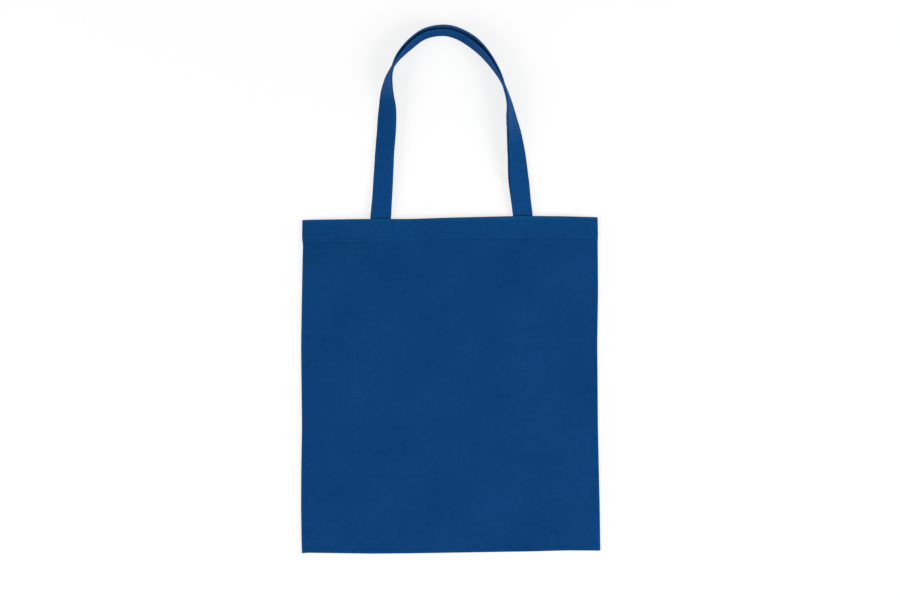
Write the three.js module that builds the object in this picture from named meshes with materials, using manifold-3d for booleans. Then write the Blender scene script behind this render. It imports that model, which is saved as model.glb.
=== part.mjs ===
// Cotton tote bag, empty, lying on its back panel on a table (z = 0), with both handles laid
// in an arch beyond the mouth. Millimetres, +Z up. The front panel faces up, the mouth is
// towards +Y, and the origin is on the table under the middle of the whole object.
import * as THREE from "three";
import { mergeVertices } from "three/addons/utils/BufferGeometryUtils.js";
import Module from "manifold-3d";

const wasm = await Module();
wasm.setup();

// Cloth and clearances
const clothThickness = 0.35;
const layerGap = 0.08; // air between two layers folded onto each other
const restGap = 0.3; // clearance between separate pieces that lie on each other
const hemClearance = 0.15; // least clearance between the front hem and the handle ends in it

// Sewing thread
const threadWidth = 0.4;
const threadHeight = 0.3;
const threadGap = 0.1; // clearance between a thread and the cloth it holds

// Bag body
const mouthWidth = 374.5;
const baseWidth = 378.5;
const bodyHeight = 424.5;
const rightSideRise = 3; // the body is a little skewed: its right side lies this much higher
const hemDepth = 27.5;
const hemTurnUnder = 9; // the part of the hem that is turned under a second time
const hemRamp = 10; // length over which the panels rise to the thicker hem
const hemStitchInset = 2; // from the hem's lower edge
const seamAllowance = 10; // width of the side edges turned to the inside
const overlockWidth = 4.5; // how far the overlock thread reaches in from the raw edges
const panelLift = 3.8; // how far the slack front panel stands off the back panel
const liftRun = 110; // distance from the bottom fold over which the front panel rises
const liftEase = 3; // how early in that distance it does most of its rising
const crownPower = 6; // how squarely the front panel falls away to the side seams

// Handles
const strapWidth = 25;
const handleSpacing = 180; // between the middles of a handle's two ends
const handleShift = 1.8; // the handles are sewn on this much right of the body's middle
const handleReach = 231; // from the mouth to the lower edge of the arch
const handleEndDepth = 25; // how far a handle's ends reach down inside the hem
const handleRunOut = 45; // length over which a handle comes down from the mouth to the table
const archSpread = 3.1; // extra room between the two handles at the top of the arch
const edgeStitchInset = 2;
const boxStitchInset = 1;

// How finely the curved pieces are stepped
const bodySteps = 20;
const panelSteps = 12;
const panelCrowding = 1.7; // how much closer together they lie near the bottom fold
const turnSteps = 2;
const bendSteps = 4;
const foldSteps = 6;
const wallAngles = [30, 60]; // where the side walls have stations in the bottom fold
const handleSteps = 56;
const handleTurnWeight = 1.2; // millimetres of handle that count as much as a degree of turn
const routeSamples = 1200;

// Heights that follow from the layers
const pitch = clothThickness + layerGap; // from the middle of one layer to the next
const hemThickness = clothThickness + 2 * pitch;
const strapThickness = clothThickness + 3 * pitch;
const threadRoom = threadHeight + 2 * threadGap;
const handleStep = strapThickness + threadRoom + restGap; // from one handle to the one on it
const seamStack = 3 * pitch + 2 * threadRoom; // two panels with the bound allowances between
const backField = clothThickness / 2;
const frontField = backField + seamStack;
const backHem = threadRoom + clothThickness / 2;
const frontHem = backHem + Math.max(5 * pitch, seamStack) + layerGap;
const foldRadius = seamStack / 2;
const foldEnd = clothThickness / 2 + foldRadius; // where the bottom fold becomes flat panels
const hemEdge = bodyHeight - hemDepth;
const rampStart = hemEdge - restGap - hemRamp;
const rampEnd = hemEdge - restGap;
const mouthRise = threadRoom + hemThickness + restGap; // underside of the lowest handle end

// How much of the front panel's full lift is left at a distance from the body's middle.
const crownAt = (x) => Math.max(1 - Math.abs((2 * x) / mouthWidth) ** crownPower, 0);

// The front hem just clears the upper handle at that handle's outer edge.
const handleOuterEdge = Math.abs(handleShift) + (handleSpacing + strapWidth) / 2;
const handleTop = mouthRise + 2 * handleStep - restGap;
const hemUnderside = frontHem - 2 * pitch - clothThickness / 2;
const mouthLift = (handleTop + hemClearance - hemUnderside) / crownAt(handleOuterEdge);

// Between the two ramps a height changes evenly from its value in the panel to that in the hem.
function alongBody(y, field, hem) {
  const share = THREE.MathUtils.clamp((y - rampStart) / (rampEnd - rampStart), 0, 1);
  return field + (hem - field) * share;
}

const backAt = (y) => alongBody(y, backField, backHem);
const frontAt = (y) => alongBody(y, frontField, frontHem);

// The slack front panel: flat over most of the body, falling away to the sides and the bottom.
function liftAt(x, y) {
  if (y <= foldEnd) return 0;
  const run = Math.min((y - foldEnd) / liftRun, 1);
  const open = THREE.MathUtils.smoothstep(y, foldEnd + liftRun, rampStart);
  const fromBottom = panelLift * (1 - (1 - run) ** liftEase);
  return crownAt(x) * (fromBottom + (mouthLift - panelLift) * open);
}

// A point of the square-cut body, moved to the slightly tapered and skewed shape it lies in.
function laid(x, y, z) {
  const taper = (baseWidth - mouthWidth) / mouthWidth;
  const spread = 1 + taper * (1 - y / bodyHeight);
  return new THREE.Vector3(x * spread, y + (rightSideRise * x) / mouthWidth, z);
}

// Stations across the body, closer together towards the side seams.
const acrossAt = (share) => (mouthWidth / 2) * Math.sin(Math.PI * (share - 0.5));

// Points of an arc in the plane of a section, from one angle to another in degrees.
function arc(centreX, centreY, radius, from, to, steps) {
  const points = [];
  for (let i = 0; i <= steps; i += 1) {
    const angle = THREE.MathUtils.degToRad(from + ((to - from) * i) / steps);
    const x = centreX + radius * Math.cos(angle);
    points.push(new THREE.Vector2(x, centreY + radius * Math.sin(angle)));
  }
  return points;
}

// The closed outline of one layer of cloth that follows a line of points, half its thickness
// to each side.
function clothOutline(line) {
  const left = [];
  const right = [];
  line.forEach((point, i) => {
    const before = line[Math.max(i - 1, 0)];
    const after = line[Math.min(i + 1, line.length - 1)];
    const into = point.clone().sub(i ? before : after).multiplyScalar(i ? 1 : -1).normalize();
    const outOf = i < line.length - 1 ? after.clone().sub(point).normalize() : into;
    const normal = new THREE.Vector2(-into.y - outOf.y, into.x + outOf.x).normalize();
    const reach = clothThickness / 2 / (-normal.x * into.y + normal.y * into.x);
    left.push(point.clone().addScaledVector(normal, reach));
    right.push(point.clone().addScaledVector(normal, -reach));
  });
  return left.concat(right.reverse());
}

// A mirrored or turned-about placing can leave the faces pointing inwards: they are turned back.
function faceOutwards(geometry) {
  const at = geometry.attributes.position;
  const index = geometry.index.array;
  const corner = (i) => new THREE.Vector3().fromBufferAttribute(at, index[i]);
  let volume = 0;
  for (let i = 0; i < index.length; i += 3) {
    volume += corner(i).dot(corner(i + 1).cross(corner(i + 2)));
  }
  if (volume < 0) {
    for (let i = 0; i < index.length; i += 3) {
      [index[i + 1], index[i + 2]] = [index[i + 2], index[i + 1]];
    }
  }
  return geometry;
}

// The four-sided faces along an extrusion are all split on the same diagonal, so that layers
// which lie along each other stay parallel where the piece is twisted or domed.
function splitAlike(geometry, sidesFrom) {
  const at = geometry.attributes.position;
  const index = geometry.index.array;
  const rank = (i) => at.getX(i) + at.getY(i);
  for (let i = sidesFrom; i < index.length; i += 6) {
    const [a, b, d] = index.slice(i, i + 3);
    const c = index[i + 4];
    if (rank(b) > rank(a)) index.set([a, b, c, a, c, d], i);
  }
}

// A straight extrusion of a section, whose points are then moved to where place() puts them.
// place() gets the two coordinates of the section and the share of the length, from 0 to 1.
function shapedExtrusion(section, steps, place) {
  const shape = section instanceof THREE.Shape ? section : new THREE.Shape(section);
  const straight = new THREE.ExtrudeGeometry(shape, { depth: 1, steps, bevelEnabled: false });
  const sidesFrom = straight.groups[1].start;
  straight.deleteAttribute("normal");
  straight.deleteAttribute("uv");
  const geometry = mergeVertices(straight, 1e-5);
  splitAlike(geometry, sidesFrom);
  const at = geometry.attributes.position;
  for (let i = 0; i < at.count; i += 1) {
    const point = place(at.getX(i), at.getY(i), at.getZ(i));
    at.setXYZ(i, point.x, point.y, point.z);
  }
  return faceOutwards(geometry);
}

function rectangle(fromX, toX, fromY, toY) {
  return [
    new THREE.Vector2(fromX, fromY),
    new THREE.Vector2(toX, fromY),
    new THREE.Vector2(toX, toY),
    new THREE.Vector2(fromX, toY),
  ];
}

function joined(geometries) {
  const solids = geometries.map((geometry) => {
    const vertProperties = new Float32Array(geometry.attributes.position.array);
    const triVerts = new Uint32Array(geometry.index.array);
    return new wasm.Manifold(new wasm.Mesh({ numProp: 3, vertProperties, triVerts }));
  });
  const mesh = solids.reduce((all, solid) => all.add(solid)).getMesh();
  const geometry = new THREE.BufferGeometry();
  geometry.setAttribute("position", new THREE.BufferAttribute(mesh.vertProperties, 3));
  return geometry.setIndex(new THREE.BufferAttribute(mesh.triVerts, 1));
}

// Section of the folded cloth from hem to hem: x is the height up the body, y is the level.
// Each raw edge is tucked between the panel and the inner layer of its hem.
function foldedClothLine() {
  const turn = pitch / 2;
  const mouth = bodyHeight - clothThickness / 2 - pitch;
  const frontHemLine = [
    new THREE.Vector2(hemEdge + hemTurnUnder, frontHem - pitch),
    ...arc(hemEdge + turn, frontHem - pitch - turn, turn, 90, 270, turnSteps),
    ...arc(mouth, frontHem - pitch, pitch, -90, 90, bendSteps),
    new THREE.Vector2(rampEnd, frontHem),
    new THREE.Vector2(rampStart, frontField),
  ];
  const panelLine = [];
  for (let i = panelSteps - 1; i > 0; i -= 1) {
    const y = foldEnd + (rampStart - foldEnd) * (i / panelSteps) ** panelCrowding;
    panelLine.push(new THREE.Vector2(y, frontField));
  }
  const foldLine = arc(foldEnd, backField + foldRadius, foldRadius, 90, 270, foldSteps);
  const backHemLine = [
    new THREE.Vector2(rampStart, backField),
    new THREE.Vector2(rampEnd, backHem),
    ...arc(mouth, backHem + pitch, pitch, -90, 90, bendSteps),
    ...arc(hemEdge + turn, backHem + pitch + turn, turn, 90, 270, turnSteps),
    new THREE.Vector2(hemEdge + hemTurnUnder, backHem + pitch),
  ];
  return [...frontHemLine, ...panelLine, ...foldLine, ...backHemLine];
}

// The folded length of cloth, with its sides still open.
function foldedCloth() {
  return shapedExtrusion(clothOutline(foldedClothLine()), bodySteps, (y, level, share) => {
    const x = acrossAt(share);
    const isFront = level > (backAt(y) + frontAt(y)) / 2;
    return laid(x, y, level + (isFront ? liftAt(x, y) : 0));
  });
}

// A strip along one side, between two distances in from the side edge. Each station has its
// place up the body and its two levels above the back panel, as shares of the way to the front.
function sideStrip(side, fromEdge, toEdge, stations) {
  const steps = stations.length - 1;
  return shapedExtrusion(rectangle(fromEdge, toEdge, 0, 1), steps, (inner, level, share) => {
    const { y, low, high } = stations[Math.round(share * steps)];
    const x = side * (mouthWidth / 2 - inner);
    return laid(x, y, level ? high(x, y) : low(x, y));
  });
}

// Where the two panels are sewn together the cloth is closed from back to front.
function sideWall(side) {
  const wallOuter = layerGap;
  const wallInner = layerGap + 2 * clothThickness;
  const middle = backField + foldRadius;
  const inFold = wallAngles.map((angle) => {
    const turned = THREE.MathUtils.degToRad(angle);
    const half = foldRadius * Math.sin(turned);
    const y = foldEnd - foldRadius * Math.cos(turned);
    return { y, low: () => middle - half, high: () => middle + half };
  });
  const inBody = [foldEnd, rampStart, rampEnd, bodyHeight - clothThickness].map((y) => ({
    y,
    low: () => backAt(y),
    high: (x) => frontAt(y) + liftAt(x, y),
  }));
  return sideStrip(side, wallOuter, wallInner, [...inFold, ...inBody]);
}

// Level of the middle of a seam allowance: the first is the back panel's, the second the front's.
const allowanceLevel = (y, layer) => backAt(y) + threadRoom + layer * pitch;

const allowanceFrom = foldEnd + restGap;
const allowanceTo = rampEnd - 2 * restGap;

function seamAllowanceLayer(side, layer) {
  const stations = [allowanceFrom, rampStart, allowanceTo].map((y) => ({
    y,
    low: () => allowanceLevel(y, layer) - clothThickness / 2,
    high: () => allowanceLevel(y, layer) + clothThickness / 2,
  }));
  return sideStrip(side, clothThickness, seamAllowance, stations);
}

function bodyCloth() {
  const sides = [-1, 1].flatMap((side) => [
    sideWall(side),
    seamAllowanceLayer(side, 1),
    seamAllowanceLayer(side, 2),
  ]);
  return joined([foldedCloth(), ...sides]);
}

// The overlock thread wraps the raw edges of both allowances from below, round and above.
function overlock(side) {
  const near = seamAllowance - overlockWidth;
  const far = seamAllowance + threadGap;
  const under = -threadGap;
  const over = pitch + clothThickness + threadGap;
  const outline = new THREE.Shape();
  outline.moveTo(near, under - threadHeight);
  outline.lineTo(far + threadHeight, under - threadHeight);
  outline.lineTo(far + threadHeight, over + threadHeight);
  outline.lineTo(near, over + threadHeight);
  outline.lineTo(near, over);
  outline.lineTo(far, over);
  outline.lineTo(far, under);
  outline.lineTo(near, under);
  const stations = [allowanceFrom, rampStart, allowanceTo];
  return shapedExtrusion(outline, stations.length - 1, (fromEdge, level, share) => {
    const y = stations[Math.round(share * (stations.length - 1))];
    const underside = allowanceLevel(y, 1) - clothThickness / 2;
    return laid(side * (mouthWidth / 2 - fromEdge), y, underside + level);
  });
}

// Upper face of the front panel and lower face of the back panel.
const frontFace = (x, y) => frontAt(y) + liftAt(x, y) + clothThickness / 2;
const backFace = (y) => backAt(y) - clothThickness / 2;

// One run of thread right round the mouth, through the hem of the front and of the back.
function hemStitching() {
  const y = hemEdge + hemStitchInset;
  const loop = (clear) => {
    const edge = mouthWidth / 2 + clear;
    const points = [
      new THREE.Vector2(-edge, backFace(y) - clear),
      new THREE.Vector2(edge, backFace(y) - clear),
      new THREE.Vector2(edge, frontFace(edge, y) + clear),
    ];
    for (let i = bodySteps - 1; i > 0; i -= 1) {
      const x = acrossAt(i / bodySteps);
      points.push(new THREE.Vector2(x, frontFace(x, y) + clear));
    }
    points.push(new THREE.Vector2(-edge, frontFace(edge, y) + clear));
    return points;
  };
  const ring = new THREE.Shape(loop(threadGap + threadHeight));
  ring.holes.push(new THREE.Path(loop(threadGap)));
  const place = (x, z, share) => laid(x, y + threadWidth * (share - 0.5), z);
  return shapedExtrusion(ring, 1, place);
}

// A stitched square with both diagonals, over one end of a handle. The square reaches from
// just below the mouth to just above the hem stitching.
function boxStitching(side, isFront) {
  const halfWidth = strapWidth / 2 - boxStitchInset;
  const low = hemEdge + hemStitchInset + threadWidth / 2 + restGap;
  const high = bodyHeight - boxStitchInset;
  const halfHeight = (high - low) / 2;
  const square = new THREE.Shape(rectangle(-halfWidth, halfWidth, -halfHeight, halfHeight));
  const insideX = halfWidth - threadWidth;
  const insideY = halfHeight - threadWidth;
  const halfDiagonal = (threadWidth / 2) * Math.hypot(1, insideY / insideX);
  const apexY = halfDiagonal;
  const apexX = (halfDiagonal * insideX) / insideY;
  const hole = (points) => square.holes.push(new THREE.Path(points));
  for (const way of [-1, 1]) {
    hole([
      new THREE.Vector2(0, way * apexY),
      new THREE.Vector2(insideX - apexX, way * insideY),
      new THREE.Vector2(apexX - insideX, way * insideY),
    ]);
    hole([
      new THREE.Vector2(way * apexX, 0),
      new THREE.Vector2(way * insideX, insideY - apexY),
      new THREE.Vector2(way * insideX, apexY - insideY),
    ]);
  }
  const middleX = handleShift + (side * handleSpacing) / 2;
  const middleY = (low + high) / 2;
  return shapedExtrusion(square, 1, (u, v, share) => {
    const x = middleX + u;
    const y = middleY + v;
    const above = frontFace(x, y) + threadGap + share * threadHeight;
    const below = backFace(y) - threadGap - share * threadHeight;
    return laid(x, y, isFront ? above : below);
  });
}

// Route of the lower edge of the rear handle, from its left end to its right end. Each landmark
// gives how far it lies across, in half spans of the handle's outer edges, how far up from the
// mouth, in reaches, and how far the strap has turned there on its lower edge, in degrees: 0 is
// flat, 90 stands on its edge and more leans outwards.
const landmarks = [
  { across: -1, up: 0, turn: 0 },
  { across: -0.978, up: 0.125, turn: 7 },
  { across: -0.947, up: 0.32, turn: 17 },
  { across: -0.915, up: 0.488, turn: 22 },
  { across: -0.889, up: 0.596, turn: 33 },
  { across: -0.861, up: 0.683, turn: 52 },
  { across: -0.813, up: 0.755, turn: 69 },
  { across: -0.748, up: 0.813, turn: 83 },
  { across: -0.654, up: 0.872, turn: 92 },
  { across: -0.494, up: 0.934, turn: 100 },
  { across: -0.324, up: 0.986, turn: 101 },
  { across: -0.122, up: 1.003, turn: 101 },
  { across: 0.052, up: 0.986, turn: 102 },
  { across: 0.233, up: 0.937, turn: 103 },
  { across: 0.417, up: 0.862, turn: 100 },
  { across: 0.555, up: 0.786, turn: 93 },
  { across: 0.65, up: 0.713, turn: 86 },
  { across: 0.722, up: 0.63, turn: 79 },
  { across: 0.775, up: 0.552, turn: 65 },
  { across: 0.836, up: 0.461, turn: 50 },
  { across: 0.893, up: 0.344, turn: 34 },
  { across: 0.941, up: 0.203, turn: 16 },
  { across: 0.984, up: 0.068, turn: 4 },
  { across: 1, up: 0, turn: 0 },
];

// The route as a smooth line, with its length and a lookup by distance from the left end.
function traceRoute() {
  const halfSpan = (handleSpacing + strapWidth) / 2;
  const points = landmarks.map(({ across, up, turn }) => {
    const x = handleShift + across * halfSpan;
    return new THREE.Vector3(x, bodyHeight + (rightSideRise * x) / mouthWidth + up * handleReach, turn);
  });
  const inside = (point) => new THREE.Vector3(point.x, point.y - handleEndDepth, 0);
  const ends = [inside(points[0]), inside(points[points.length - 1])];
  const curve = new THREE.CatmullRomCurve3([ends[0], ...points, ends[1]], false, "catmullrom", 0.5);
  const samples = [];
  let length = 0;
  for (let i = 0; i <= routeSamples; i += 1) {
    const { x, y, z: turn } = curve.getPoint(i / routeSamples);
    const last = samples[samples.length - 1];
    if (last) length += Math.hypot(x - last.x, y - last.y);
    samples.push({ x, y, turn, distance: length });
  }
  const at = (distance) => {
    const next = Math.max(samples.findIndex((sample) => sample.distance >= distance), 1);
    const [from, to] = [samples[next - 1], samples[next]];
    const share = (distance - from.distance) / (to.distance - from.distance);
    const way = new THREE.Vector2(to.x - from.x, to.y - from.y).normalize();
    const mix = (key) => from[key] + (to[key] - from[key]) * share;
    return { x: mix("x"), y: mix("y"), turn: THREE.MathUtils.degToRad(mix("turn")), way };
  };
  const standing = samples.filter((sample) => sample.turn >= 90);
  const arch = { from: standing[0].distance, to: standing[standing.length - 1].distance };
  return { length, at, arch, stations: handleStations(samples) };
}

// Distances along a handle at which its section is placed, closer together where it turns.
function handleStations(samples) {
  const effort = [0];
  samples.slice(1).forEach((sample, i) => {
    const run = sample.distance - samples[i].distance;
    effort.push(effort[i] + run + handleTurnWeight * Math.abs(sample.turn - samples[i].turn));
  });
  const total = effort[effort.length - 1];
  const stations = [];
  for (let i = 0; i <= handleSteps; i += 1) {
    const next = effort.findIndex((value) => value >= (total * i) / handleSteps - 1e-6);
    stations.push(samples[next].distance);
  }
  return stations;
}

const route = traceRoute();

// A point of a handle: how far in from its lower edge, how far out from its middle layer, and
// its distance along the route. The front handle lies a step further out than the rear one.
function onHandle(isFront, across, out, distance) {
  const { x, y, turn, way } = route.at(distance);
  const inwards = new THREE.Vector3(way.y, -way.x, 0);
  const upwards = new THREE.Vector3(0, 0, 1);
  const acrossStrap = inwards.clone().multiplyScalar(Math.cos(turn));
  acrossStrap.addScaledVector(upwards, Math.sin(turn));
  const offStrap = upwards.clone().multiplyScalar(Math.cos(turn));
  offStrap.addScaledVector(inwards, -Math.sin(turn));
  const archShare = THREE.MathUtils.inverseLerp(route.arch.from, route.arch.to, distance);
  const inArch = Math.sin(Math.PI * THREE.MathUtils.clamp(archShare, 0, 1)) ** 2;
  const apart = isFront ? handleStep + archSpread * inArch : 0;
  const restHeight = (strapThickness / 2) * Math.abs(Math.cos(turn));
  const onTop = (strapThickness / 2 + apart) * Math.cos(turn);
  const fromEnd = Math.min(distance, route.length - distance);
  const fade = THREE.MathUtils.smoothstep(fromEnd, handleEndDepth, handleEndDepth + handleRunOut);
  const level = Math.max(restHeight, onTop) + mouthRise * (1 - fade);
  const point = new THREE.Vector3(x, y, level).addScaledVector(inwards, -Math.sin(turn) * apart);
  return point.addScaledVector(acrossStrap, across).addScaledVector(offStrap, out);
}

// Section of a strap: a strip whose two long edges are turned in and pressed flat, folded once
// more along its middle. Each half is two layers pressed together, with a slit between the
// halves that is open along the lower edge. x is out from the middle and y is across.
function foldedStrapOutline() {
  const slit = layerGap / 2;
  const half = strapThickness / 2;
  const edgeRadius = (half - slit) / 2;
  const nearEdge = edgeStitchInset;
  const farEdge = strapWidth - edgeStitchInset;
  const slitEnd = strapWidth - half - clothThickness;
  return [
    ...arc(slit + edgeRadius, edgeRadius, edgeRadius, 180, 360, turnSteps),
    new THREE.Vector2(half, nearEdge),
    new THREE.Vector2(half, farEdge),
    ...arc(0, strapWidth - half, half, 0, 180, bendSteps),
    new THREE.Vector2(-half, farEdge),
    new THREE.Vector2(-half, nearEdge),
    ...arc(-slit - edgeRadius, edgeRadius, edgeRadius, 180, 360, turnSteps),
    new THREE.Vector2(-slit, nearEdge),
    new THREE.Vector2(-slit, slitEnd),
    new THREE.Vector2(slit, slitEnd),
    new THREE.Vector2(slit, nearEdge),
  ];
}

function handle(isFront) {
  return shapedExtrusion(foldedStrapOutline(), handleSteps, (out, across, share) =>
    onHandle(isFront, across, out, route.stations[Math.round(share * handleSteps)]),
  );
}

// A row of thread along one long edge of a handle, on the face that is up at the mouth.
function edgeStitching(isFront, middle) {
  const face = strapThickness / 2 + threadGap;
  const half = threadWidth / 2;
  const section = rectangle(face, face + threadHeight, middle - half, middle + half);
  return shapedExtrusion(section, handleSteps, (out, across, share) => {
    const distance = route.stations[Math.round(share * handleSteps)];
    const shortened = THREE.MathUtils.clamp(distance, restGap, route.length - restGap);
    return onHandle(isFront, across, out, shortened);
  });
}

const cottonLook = { color: 0x0f4075, roughness: 0.95, metalness: 0 };
const threadLook = { color: 0x14508c, roughness: 0.8, metalness: 0 };

const part = new THREE.Group();

function addPiece(name, geometry, look) {
  const mesh = new THREE.Mesh(geometry, new THREE.MeshStandardMaterial(look));
  mesh.name = name;
  part.add(mesh);
}

addPiece("body_cloth", bodyCloth(), cottonLook);
addPiece("mouth_hem_stitching", hemStitching(), threadLook);
for (const side of [-1, 1]) {
  const hand = side < 0 ? "left" : "right";
  addPiece(`side_seam_overlock_${hand}`, overlock(side), threadLook);
}
for (const face of ["front", "rear"]) {
  const isFront = face === "front";
  addPiece(`handle_${face}`, handle(isFront), cottonLook);
  addPiece(`edge_stitching_${face}_outer`, edgeStitching(isFront, edgeStitchInset), threadLook);
  const innerRow = strapWidth - edgeStitchInset;
  addPiece(`edge_stitching_${face}_inner`, edgeStitching(isFront, innerRow), threadLook);
  addPiece(`box_stitching_${face}_left`, boxStitching(-1, isFront), threadLook);
  addPiece(`box_stitching_${face}_right`, boxStitching(1, isFront), threadLook);
}

// The origin goes under the middle of the whole object.
const extent = new THREE.Box3().setFromObject(part);
const middle = extent.getCenter(new THREE.Vector3());
part.position.set(-middle.x, -middle.y, 0);

export default part;
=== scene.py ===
# %% [markdown]
# # A cotton tote bag, folded from its cut pieces
#
# A plain carrier bag is one length of cotton folded at the bottom, two straps folded from strips
# of the same cloth, and a few runs of thread. Each piece here starts as its flat cut, a grid,
# and is folded into the place where it lies. The cut's own width and length become the UV map,
# so the weave follows the cloth round every fold, as it does on the real bag.
#
# The imported CAD model gives the frame, and the body's size is read from its box.

import math

import bpy
import numpy as np
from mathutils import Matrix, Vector


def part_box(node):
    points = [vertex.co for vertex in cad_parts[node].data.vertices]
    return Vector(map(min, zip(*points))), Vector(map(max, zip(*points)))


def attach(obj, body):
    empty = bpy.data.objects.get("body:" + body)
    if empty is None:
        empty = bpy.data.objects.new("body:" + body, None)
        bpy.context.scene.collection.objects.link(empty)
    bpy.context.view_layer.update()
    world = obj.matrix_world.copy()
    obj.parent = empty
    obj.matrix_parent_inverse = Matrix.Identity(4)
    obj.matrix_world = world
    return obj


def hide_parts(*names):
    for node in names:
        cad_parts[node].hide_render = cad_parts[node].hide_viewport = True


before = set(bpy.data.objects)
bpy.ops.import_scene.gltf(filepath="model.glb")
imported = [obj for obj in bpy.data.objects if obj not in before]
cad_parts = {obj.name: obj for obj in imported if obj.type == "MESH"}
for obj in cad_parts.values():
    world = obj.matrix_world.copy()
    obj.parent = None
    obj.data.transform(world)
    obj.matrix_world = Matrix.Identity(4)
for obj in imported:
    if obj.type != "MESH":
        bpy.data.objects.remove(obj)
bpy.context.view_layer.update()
bpy.ops.object.select_all(action="DESELECT")

# %% [markdown]
# ## Sizes
#
# The bag lies on its back panel with the mouth towards +Y. What the CAD model fixes is measured
# from its box. The rest is how such a bag is sewn: how deep the hem is, how wide the allowances
# are, and where the hem's edge steps down to the single cloth of the panel. On the front panel
# that step is spread over a longer ramp, because the slack cloth can't follow it.

# %% Sizes of the cloth and of the bag
mm = 0.001
cloth = 0.35 * mm
pitch = 0.43 * mm
body_low, body_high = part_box("body_cloth")
right_side_rise = 3 * mm
base_width = body_high.x - body_low.x
mouth_width = base_width - 4 * mm
body_height = body_high.y - body_low.y - right_side_rise
bottom_y = body_low.y + right_side_rise / 2
half_mouth = mouth_width / 2

hem_depth = 27.5 * mm
hem_turn_under = 9 * mm
hem_edge = body_height - hem_depth
ramp_top = hem_edge - 0.3 * mm
ramp_bottom = ramp_top - 3.5 * mm
front_ramp = 60 * mm
hem_stitch_y = hem_edge + 2 * mm
seam_allowance = 10 * mm
print(f"body {base_width / mm:.1f} by {body_height / mm:.1f} mm")

# %% [markdown]
# Levels are heights above the table, of the middle of a layer. Where two layers lie on each
# other, their middles are one `pitch` apart. A field is the single cloth of a panel, and a hem
# its outer layer at the mouth, where three layers lie on each other. The front panel is slack,
# so it is lifted off the back one, most at the mouth. A bag modelled as two flat plates would
# show none of this, and it is what gives the mouth its soft, slightly open edge.

# %% Levels of the layers
back_field = cloth / 2
front_field = back_field + 2.29 * mm
back_hem = 0.5 * mm + cloth / 2
front_hem = back_hem + 2.37 * mm
fold_radius = (front_field - back_field) / 2
fold_end = cloth / 2 + fold_radius
mouth_lift = 4.88 * mm
panel_lift = 3.8 * mm
lift_run = 110 * mm
crown_power = 6
mouth_line = body_height - cloth / 2 - pitch
print(f"the mouth's middle stands {(front_hem + mouth_lift) / mm:.1f} mm above the table")

# %% [markdown]
# ## Small helpers for shapes
#
# Cloth never lies perfectly smooth. Three shapes make all its unevenness: a smooth step, a
# rounded hill, and a noise that wanders softly over a chosen distance. The noise draws its
# values from a seeded generator, so the bag is the same each time the script runs.

# %% Steps, hills and noise
def smooth_step(value, low, high):
    """0 below low, 1 above high and a smooth change between them."""
    share = np.clip((value - low) / (high - low), 0, 1)
    return share * share * (3 - 2 * share)


def hill(value, middle, reach):
    """A rounded hill of height 1 that has all but gone at twice its reach."""
    return np.exp(-(((value - middle) / reach) ** 2))


def between(first, second, share):
    """The first value where share is 0, the second where it is 1."""
    return first * (1 - share) + second * share


def soft_noise(across, along, cell, seed):
    """Values from -1 to 1 that wander smoothly over the distance of one cell."""
    cells = 64
    lattice = np.random.default_rng(seed).uniform(-1, 1, (cells, cells))
    u = np.asarray(across) / cell + 20.3
    v = np.asarray(along) / cell + 20.7
    i = np.floor(u).astype(int)
    j = np.floor(v).astype(int)
    ease_u = smooth_step(u - i, 0, 1)
    ease_v = smooth_step(v - j, 0, 1)
    near = between(lattice[i % cells, j % cells], lattice[(i + 1) % cells, j % cells], ease_u)
    j = j + 1
    far = between(lattice[i % cells, j % cells], lattice[(i + 1) % cells, j % cells], ease_u)
    return between(near, far, ease_v)


# %% [markdown]
# ## The handles' route
#
# Both handles rise from the mouth, turn on edge and lean outwards round a leaning arch. The
# route is a chosen list of landmarks, the same that the CAD model has: how far across, how far
# up, and how far the strap has turned on its lower edge, in degrees. The distances are shares
# of half the span and of `handle_reach`. Where the two handles differ is given by angles and
# gaps: how far the front one leans out in the arch and how closely it is pressed on the legs.

# %% Landmarks of the route
strap_width = 25 * mm
handle_spacing = 180 * mm
handle_shift = 1.8 * mm
handle_reach = 231 * mm
handle_end_depth = 25 * mm
handle_run_out = 45 * mm
arch_lean = math.radians(8.5)
arch_gap = 0.6 * mm
leg_press = math.radians(0.2)
strap_thickness = cloth + 3 * pitch
handle_step = strap_thickness + 0.4 * mm
mouth_rise = 2.01 * mm
landmarks = [
    (-1, 0, 0), (-0.978, 0.125, 7), (-0.947, 0.32, 17), (-0.915, 0.488, 22),
    (-0.889, 0.596, 33), (-0.861, 0.683, 52), (-0.813, 0.755, 69), (-0.748, 0.813, 83),
    (-0.654, 0.872, 92), (-0.494, 0.934, 100), (-0.324, 0.986, 101), (-0.122, 1.003, 101),
    (0.052, 0.986, 102), (0.233, 0.937, 103), (0.417, 0.862, 100), (0.555, 0.786, 93),
    (0.65, 0.713, 86), (0.722, 0.63, 79), (0.775, 0.552, 65), (0.836, 0.461, 50),
    (0.893, 0.344, 34), (0.941, 0.203, 16), (0.984, 0.068, 4), (1, 0, 0),
]


# %% [markdown]
# A Catmull-Rom curve joins the landmarks. It could be a curve object, but the folding below has
# to ask for the place and the turn at any distance along the strap, so the curve is worked out
# as an array, with the distance from its start beside it.

# %% Trace the route
def catmull_rom(points, count):
    """A smooth line through the points, as count positions."""
    points = np.asarray(points, float)
    padded = np.vstack([2 * points[0] - points[1], points, 2 * points[-1] - points[-2]])
    at = np.linspace(0, len(points) - 1, count)
    i = np.minimum(at.astype(int), len(points) - 2)
    t = (at - i)[:, None]
    before, start, end, after = (padded[i + k] for k in range(4))
    leave = 0.5 * (end - before)
    arrive = 0.5 * (after - start)
    cubic = 2 * start - 2 * end + leave + arrive
    square = -3 * start + 3 * end - 2 * leave - arrive
    return start + leave * t + square * t**2 + cubic * t**3


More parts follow.
